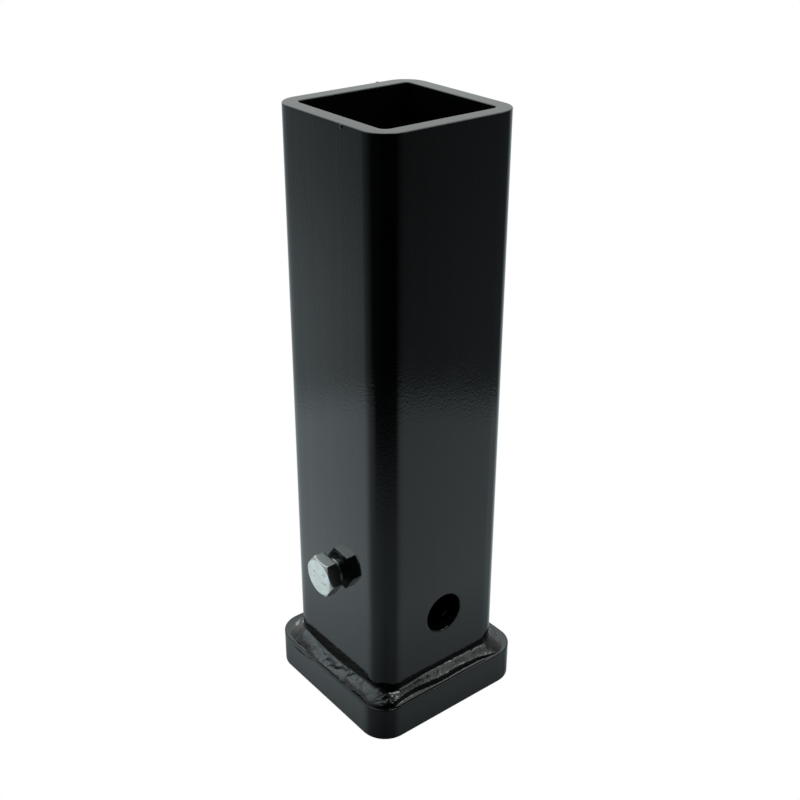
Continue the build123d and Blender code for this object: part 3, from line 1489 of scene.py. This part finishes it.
@dataclass(frozen=True)
class SoftLamp:
    """A soft lamp: its place to the camera's right, ahead and up, its two sides and its power."""

    place: tuple[float, float, float]
    sides: tuple[float, float]
    power: float


@dataclass
class Studio:
    """A white table in a light tent, three soft lamps, and the camera.

    The table and the tent are white to the camera. The object sees them as a photographer sets
    them: bright behind it and at its left, dimmer at its right and dark round the camera. The table
    carries a painted shadow: black under the mouth, which closes it from below, and a painted
    contact shadow that lightens away from the collar, by a shade at each level distance from the
    tube's axis. The stand is the camera's place, and the tent's peak the brightest glow, which
    scales the others.
    """

    azimuth: float = -38.666
    elevation: float = 27.248
    roll: float = 0.185
    stand: tuple[float, float, float] = (-258.67, -325.82, 345.52)
    lens: float = 53.23
    sensor: float = 36.0
    clip: tuple[float, float] = (10.0, 10000.0)
    table_half: float = 600.0
    table_drop: float = 0.02
    # Painted shadow on the table: its brightness at each level distance from the tube's axis, black
    # under the mouth and fading out from the collar
    table_shade: tuple[tuple[float, float], ...] = (
        (0.0, 0.0), (28.0, 0.0), (31.0, 0.3), (38.0, 0.4), (46.0, 0.56),
        (90.0, 1.0),
    )
    tent: tuple[TentBelt, ...] = (
        TentBelt(
            -1.0,
            -1.0,
            (
                (-180.0, 0.28), (-120.0, 0.38), (-106.0, 0.48), (-92.0, 0.76), (-76.0, 0.8),
                (-71.0, 1.15), (-60.0, 0.95), (-40.0, 0.7), (30.0, 0.74), (62.0, 0.42),
                (92.0, 0.76), (102.0, 0.56), (120.0, 0.52), (140.0, 0.27), (180.0, 0.28),
            ),
        ),
        TentBelt(
            -0.58,
            -0.46,
            (
                (-180.0, 0.02), (-138.0, 0.04), (-120.0, 0.38), (-106.0, 0.48), (-92.0, 0.76),
                (-76.0, 0.8), (-71.0, 1.15), (-60.0, 0.95), (-40.0, 0.7), (30.0, 0.74),
                (62.0, 0.42), (92.0, 0.76), (102.0, 0.56), (120.0, 0.52), (138.0, 0.04),
                (180.0, 0.02),
            ),
        ),
        TentBelt(
            -0.47,
            -0.441,
            (
                (-180.0, 0.0), (-125.0, 0.02), (-100.0, 0.22), (-79.0, 0.34), (-75.0, 0.44),
                (-70.5, 0.78), (-50.0, 0.64), (0.0, 0.7), (36.0, 0.68), (62.0, 0.12),
                (96.0, 0.19), (103.0, 0.11), (125.0, 0.07), (138.0, 0.0), (180.0, 0.0),
            ),
        ),
        TentBelt(
            -0.4,
            -0.24,
            (
                (-180.0, 0.0), (-125.0, 0.02), (-100.0, 0.14), (-79.0, 0.22), (-75.0, 0.28),
                (-70.5, 0.5), (-50.0, 0.46), (0.0, 0.7), (36.0, 0.62), (62.0, 0.1),
                (96.0, 0.15), (103.0, 0.08), (125.0, 0.05), (138.0, 0.0), (180.0, 0.0),
            ),
        ),
        TentBelt(
            -0.22,
            -0.17,
            (
                (-180.0, 0.0), (-60.0, 0.03), (-40.0, 0.3), (30.0, 0.4), (60.0, 0.06),
                (180.0, 0.0),
            ),
        ),
        TentBelt(
            -0.12,
            0.04,
            (
                (-180.0, 0.0), (-140.0, 0.05), (-125.0, 0.3), (-93.0, 0.8), (-60.0, 0.8),
                (-25.0, 0.8), (-21.0, 3.0), (-17.0, 0.8), (0.0, 0.9), (50.0, 0.6),
                (80.0, 0.3), (110.0, 0.1), (140.0, 0.0), (180.0, 0.0),
            ),
            (0.95, 1.0, 0.99),
        ),
        TentBelt(
            0.5,
            0.75,
            (
                (-180.0, 0.0), (-140.0, 0.1), (-125.0, 0.5), (-93.0, 1.6), (-50.0, 2.4),
                (0.0, 2.4), (50.0, 1.3), (80.0, 0.3), (110.0, 0.1), (140.0, 0.0),
                (180.0, 0.0),
            ),
        ),
    )
    tent_peak: float = 3.0
    lamps: tuple[SoftLamp, ...] = (
        SoftLamp((180.0, -60.0, 700.0), (190.0, 150.0), 0.5),
        SoftLamp((505.0, -89.0, 490.0), (340.0, 340.0), 0.45),
        SoftLamp((560.0, -100.0, 450.0), (110.0, 50.0), 0.08),
    )

    @property
    def right(self) -> np.ndarray:
        """The level way to the camera's right."""
        return np.array([cos(radians(self.azimuth)), sin(radians(self.azimuth)), 0.0])

    @property
    def ahead(self) -> np.ndarray:
        """The level way that the camera looks."""
        return np.array([-sin(radians(self.azimuth)), cos(radians(self.azimuth)), 0.0])

    def place(self, right: float, ahead: float, up: float) -> np.ndarray:
        """A point by its ways to the camera's right, ahead and up."""
        return self.right * right + self.ahead * ahead + np.array([0.0, 0.0, up])

    def table(self) -> None:
        """Builds the table: a level square just below the foot.

        To the camera it is white from above and clear from below. To every other ray it lets the
        tent through, darkened by a painted shadow that is black under the mouth and lightens with
        the larger of the two level distances from the tube's axis.
        """
        half, level = self.table_half * MM, -self.table_drop * MM
        corners = [(-half, -half), (half, -half), (half, half), (-half, half)]
        mesh = bpy.data.meshes.new("table")
        mesh.from_pydata([(x, y, level) for x, y in corners], [], [(0, 1, 2, 3)])
        material = bpy.data.materials.new("white_table")
        material.use_nodes = True
        tree = material.node_tree
        tree.nodes.clear()
        place = add_node(tree, "ShaderNodeTexCoord").outputs["Object"]
        folded = add_node(tree, "ShaderNodeVectorMath", {0: place}, operation="ABSOLUTE")
        split = add_node(tree, "ShaderNodeSeparateXYZ", {0: folded.outputs[0]})
        far = add_node(
            tree, "ShaderNodeMath", {0: split.outputs[0], 1: split.outputs[1]}, operation="MAXIMUM"
        )
        reach = self.table_shade[-1][0]
        share = add_node(
            tree, "ShaderNodeMath", {0: far.outputs[0], 1: reach * MM}, operation="DIVIDE"
        )
        # Painted shadow: this ramp darkens the tent seen through the table, black under the mouth
        # and fading out from the collar
        ramp = add_node(tree, "ShaderNodeValToRGB", {"Fac": share.outputs[0]})
        marks = ramp.color_ramp.elements
        for distance, _ in self.table_shade[1:-1]:
            marks.new(distance / reach)
        for mark, (_, shade) in zip(marks, self.table_shade):
            mark.color = (shade, shade, shade, 1.0)
        under = add_node(tree, "ShaderNodeNewGeometry").outputs["Backfacing"]
        painted_shadow = add_node(
            tree, "ShaderNodeMath", {0: ramp.outputs["Color"], 1: under}, operation="MAXIMUM"
        )
        clear = add_node(tree, "ShaderNodeBsdfTransparent", {"Color": painted_shadow.outputs[0]})
        white = add_node(tree, "ShaderNodeEmission", {"Color": (1.0, 1.0, 1.0, 1.0)})
        seen = add_node(tree, "ShaderNodeLightPath").outputs["Is Camera Ray"]
        from_above = add_node(
            tree, "ShaderNodeMath", {0: seen, 1: under}, operation="SUBTRACT", use_clamp=True
        )
        surface = add_node(
            tree,
            "ShaderNodeMixShader",
            {0: from_above.outputs[0], 1: clear.outputs[0], 2: white.outputs[0]},
        )
        add_node(tree, "ShaderNodeOutputMaterial", {"Surface": surface.outputs[0]})
        mesh.materials.append(material)
        table = bpy.data.objects.new("table", mesh)
        bpy.context.scene.collection.objects.link(table)

    def surroundings(self) -> None:
        """Builds the world: white to the camera, and the tent's belts to the object.

        A direction's bearing is the arc tangent of its ways right and ahead. Each belt is a ramp
        over the bearing, laid over the last one from its lower edge up.
        """
        world = bpy.data.worlds.new("studio")
        world.use_nodes = True
        tree = world.node_tree
        tree.nodes.clear()
        way = add_node(tree, "ShaderNodeTexCoord").outputs["Generated"]
        right, ahead, up = (
            add_node(
                tree, "ShaderNodeVectorMath", {0: way, 1: list(axis)}, operation="DOT_PRODUCT"
            ).outputs["Value"]
            for axis in (self.right, self.ahead, (0.0, 0.0, 1.0))
        )
        bearing = add_node(tree, "ShaderNodeMath", {0: right, 1: ahead}, operation="ARCTAN2")
        share = add_node(
            tree,
            "ShaderNodeMapRange",
            {"Value": bearing.outputs[0], "From Min": -pi, "From Max": pi},
        )
        light = None
        for belt in self.tent:
            ramp = add_node(tree, "ShaderNodeValToRGB", {"Fac": share.outputs[0]})
            marks = ramp.color_ramp.elements
            for degrees_round, _ in belt.glow[1:-1]:
                marks.new(degrees_round / 360 + 0.5)
            for mark, (_, glow) in zip(marks, belt.glow):
                mark.color = (*(glow / self.tent_peak * tint for tint in belt.tint), 1.0)
            if light is None:
                light = ramp.outputs["Color"]
                continue
            rise = add_node(
                tree,
                "ShaderNodeMapRange",
                {"Value": up, "From Min": belt.below, "From Max": belt.above},
                interpolation_type="SMOOTHSTEP",
            )
            light = add_node(
                tree,
                "ShaderNodeMix",
                {MIX_SHARE: rise.outputs[0], MIX_FIRST: light, MIX_SECOND: ramp.outputs["Color"]},
                data_type="RGBA",
            ).outputs[MIXED]
        tent = add_node(tree, "ShaderNodeBackground", {"Color": light, "Strength": self.tent_peak})
        white = add_node(tree, "ShaderNodeBackground", {"Color": (1.0, 1.0, 1.0, 1.0)})
        seen = add_node(tree, "ShaderNodeLightPath").outputs["Is Camera Ray"]
        both = add_node(
            tree, "ShaderNodeMixShader", {0: seen, 1: tent.outputs[0], 2: white.outputs[0]}
        )
        add_node(tree, "ShaderNodeOutputWorld", {"Surface": both.outputs[0]})
        bpy.context.scene.world = world

    def hang_lamps(self) -> None:
        """Hangs the soft lamps, which face the object and don't show to the camera."""
        for number, soft in enumerate(self.lamps):
            data = bpy.data.lights.new(f"soft_lamp_{number}", "AREA")
            data.shape = "RECTANGLE"
            data.size, data.size_y = (side * MM for side in soft.sides)
            data.energy = soft.power
            lamp = bpy.data.objects.new(data.name, data)
            lamp.location = self.place(*soft.place) * MM
            lamp.rotation_euler = (-lamp.location).to_track_quat("-Z", "Y").to_euler()
            lamp.visible_camera = False
            bpy.context.scene.collection.objects.link(lamp)

    def set_camera(self) -> None:
        """Sets the camera up at the photograph's place, angle and lens."""
        data = bpy.data.cameras.new("camera")
        data.lens, data.sensor_width = self.lens, self.sensor
        data.clip_start, data.clip_end = (distance * MM for distance in self.clip)
        slope = radians(self.elevation)
        look = Vector(self.ahead * cos(slope) + np.array([0.0, 0.0, -sin(slope)]))
        level = Vector(self.right)
        above = level.cross(look)
        turn = radians(self.roll)
        right = level * cos(turn) + above * sin(turn)
        up = above * cos(turn) - level * sin(turn)
        camera = bpy.data.objects.new("camera", data)
        facing = Matrix((right, up, -look)).transposed().to_4x4()
        camera.matrix_world = Matrix.Translation(Vector(self.stand) * MM) @ facing
        bpy.context.scene.collection.objects.link(camera)
        bpy.context.scene.camera = camera

    def build(self) -> None:
        """Builds the whole studio."""
        self.set_camera()
        self.table()
        self.surroundings()
        self.hang_lamps()
        bpy.context.scene.view_settings.view_transform = "Standard"


def main() -> None:
    """Builds the object in its studio and reports each piece."""
    logging.basicConfig(level=logging.INFO, format="%(message)s")
    Studio().build()
    mounts = {mount["name"]: mount for mount in frame["record"]["mounts"]}
    pin_hole = mounts["hitch_pin_hole"]
    tube_low, tube_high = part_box("receiver_tube")
    collar_low, collar_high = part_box("mouth_collar")
    _, bolt_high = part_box("anti_rattle_bolt")
    enamel = GlossEnamel("gloss_black_enamel").build()
    zinc = ZincPlate("blue_white_zinc_plate").build()
    bolt = AntiRattleBolt(tip_x=bolt_high.x / MM)
    tube = ReceiverTube(
        width=(tube_high.x - tube_low.x) / MM,
        length=tube_high.z / MM,
        pin_radius=pin_hole["dims"]["r_mm"],
        pin_height=pin_hole["pos_m"][2] / MM,
        bolt_height=bolt.height,
    )
    collar = MouthCollar(
        width=(collar_high.x - collar_low.x) / MM,
        height=collar_high.z / MM,
        tube_width=tube.width,
    )
    weld = CollarWeld(
        tube_half=tube.half,
        tube_corner_radius=tube.corner_radius,
        collar_half=collar.width / 2,
        collar_corner_radius=collar.corner_radius,
        collar_shoulder=collar.shoulder,
        foot=collar.height,
    )
    tube.build(enamel)
    collar.build(enamel)
    weld.build(enamel)
    bolt.build(zinc)


if __name__ == "__main__":
    main()
